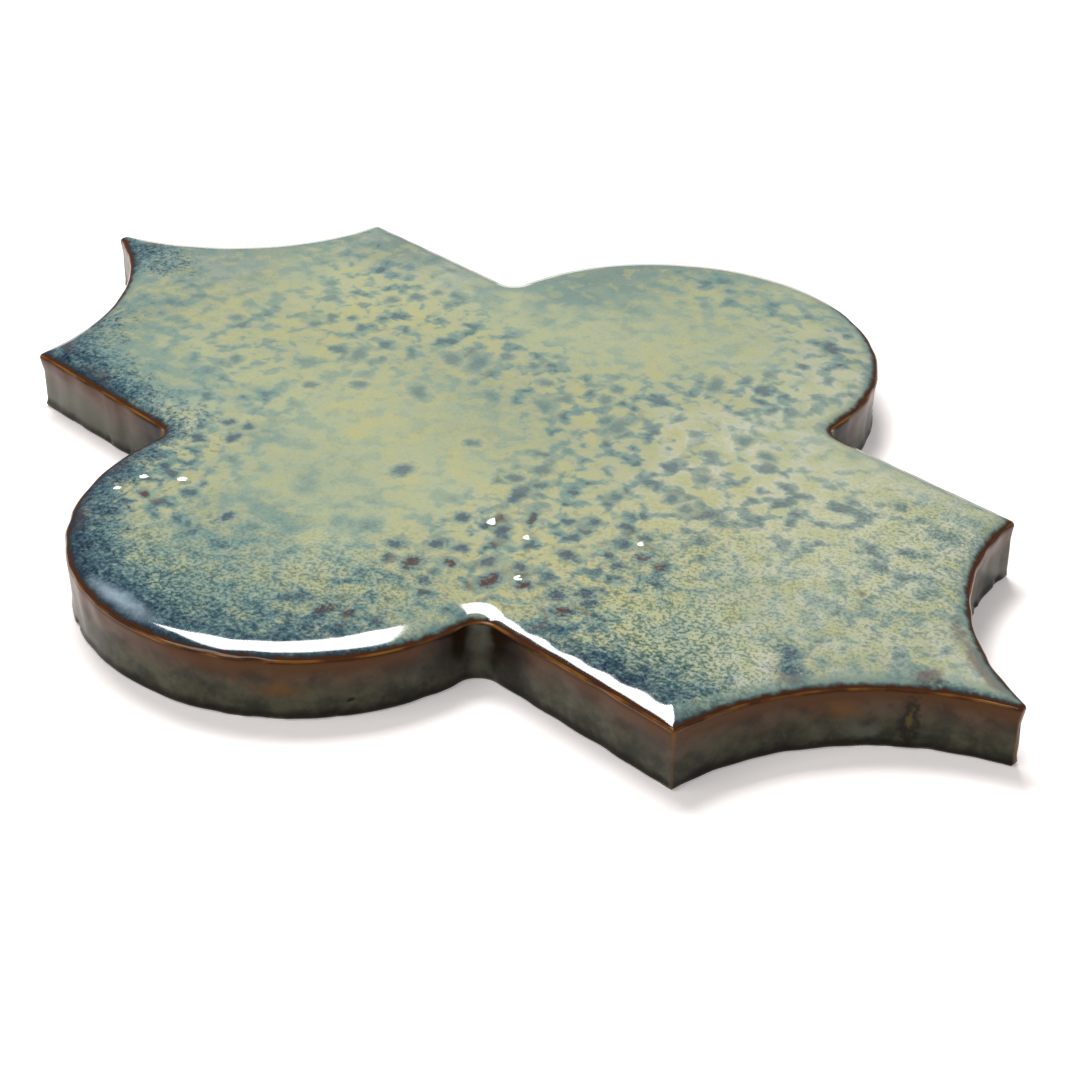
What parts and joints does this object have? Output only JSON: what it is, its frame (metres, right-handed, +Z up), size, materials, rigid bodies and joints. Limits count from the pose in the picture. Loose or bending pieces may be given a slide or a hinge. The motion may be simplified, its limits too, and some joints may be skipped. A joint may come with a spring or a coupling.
{
  "type": "arabesque tile",
  "caption": "Glazed stoneware tile in an arabesque outline: pointed ends with hollow sides, a round lobe on each long side, a softly rolled face and a flat back.",
  "frame": {"origin": "middle of the back, on the level that the tile lies on", "axes": "+X along the tile from pointed end to pointed end, +Y across it from lobe to lobe, +Z up, out of the glazed face"},
  "size_m": [0.2, 0.1484, 0.011],
  "materials": {
    "glaze": "glossy mottled reactive glaze in sage green, grey teal and slate blue"
  },
  "bodies": {
    "root": {"arabesque_tile": "glaze"}
  },
  "joints": []
}
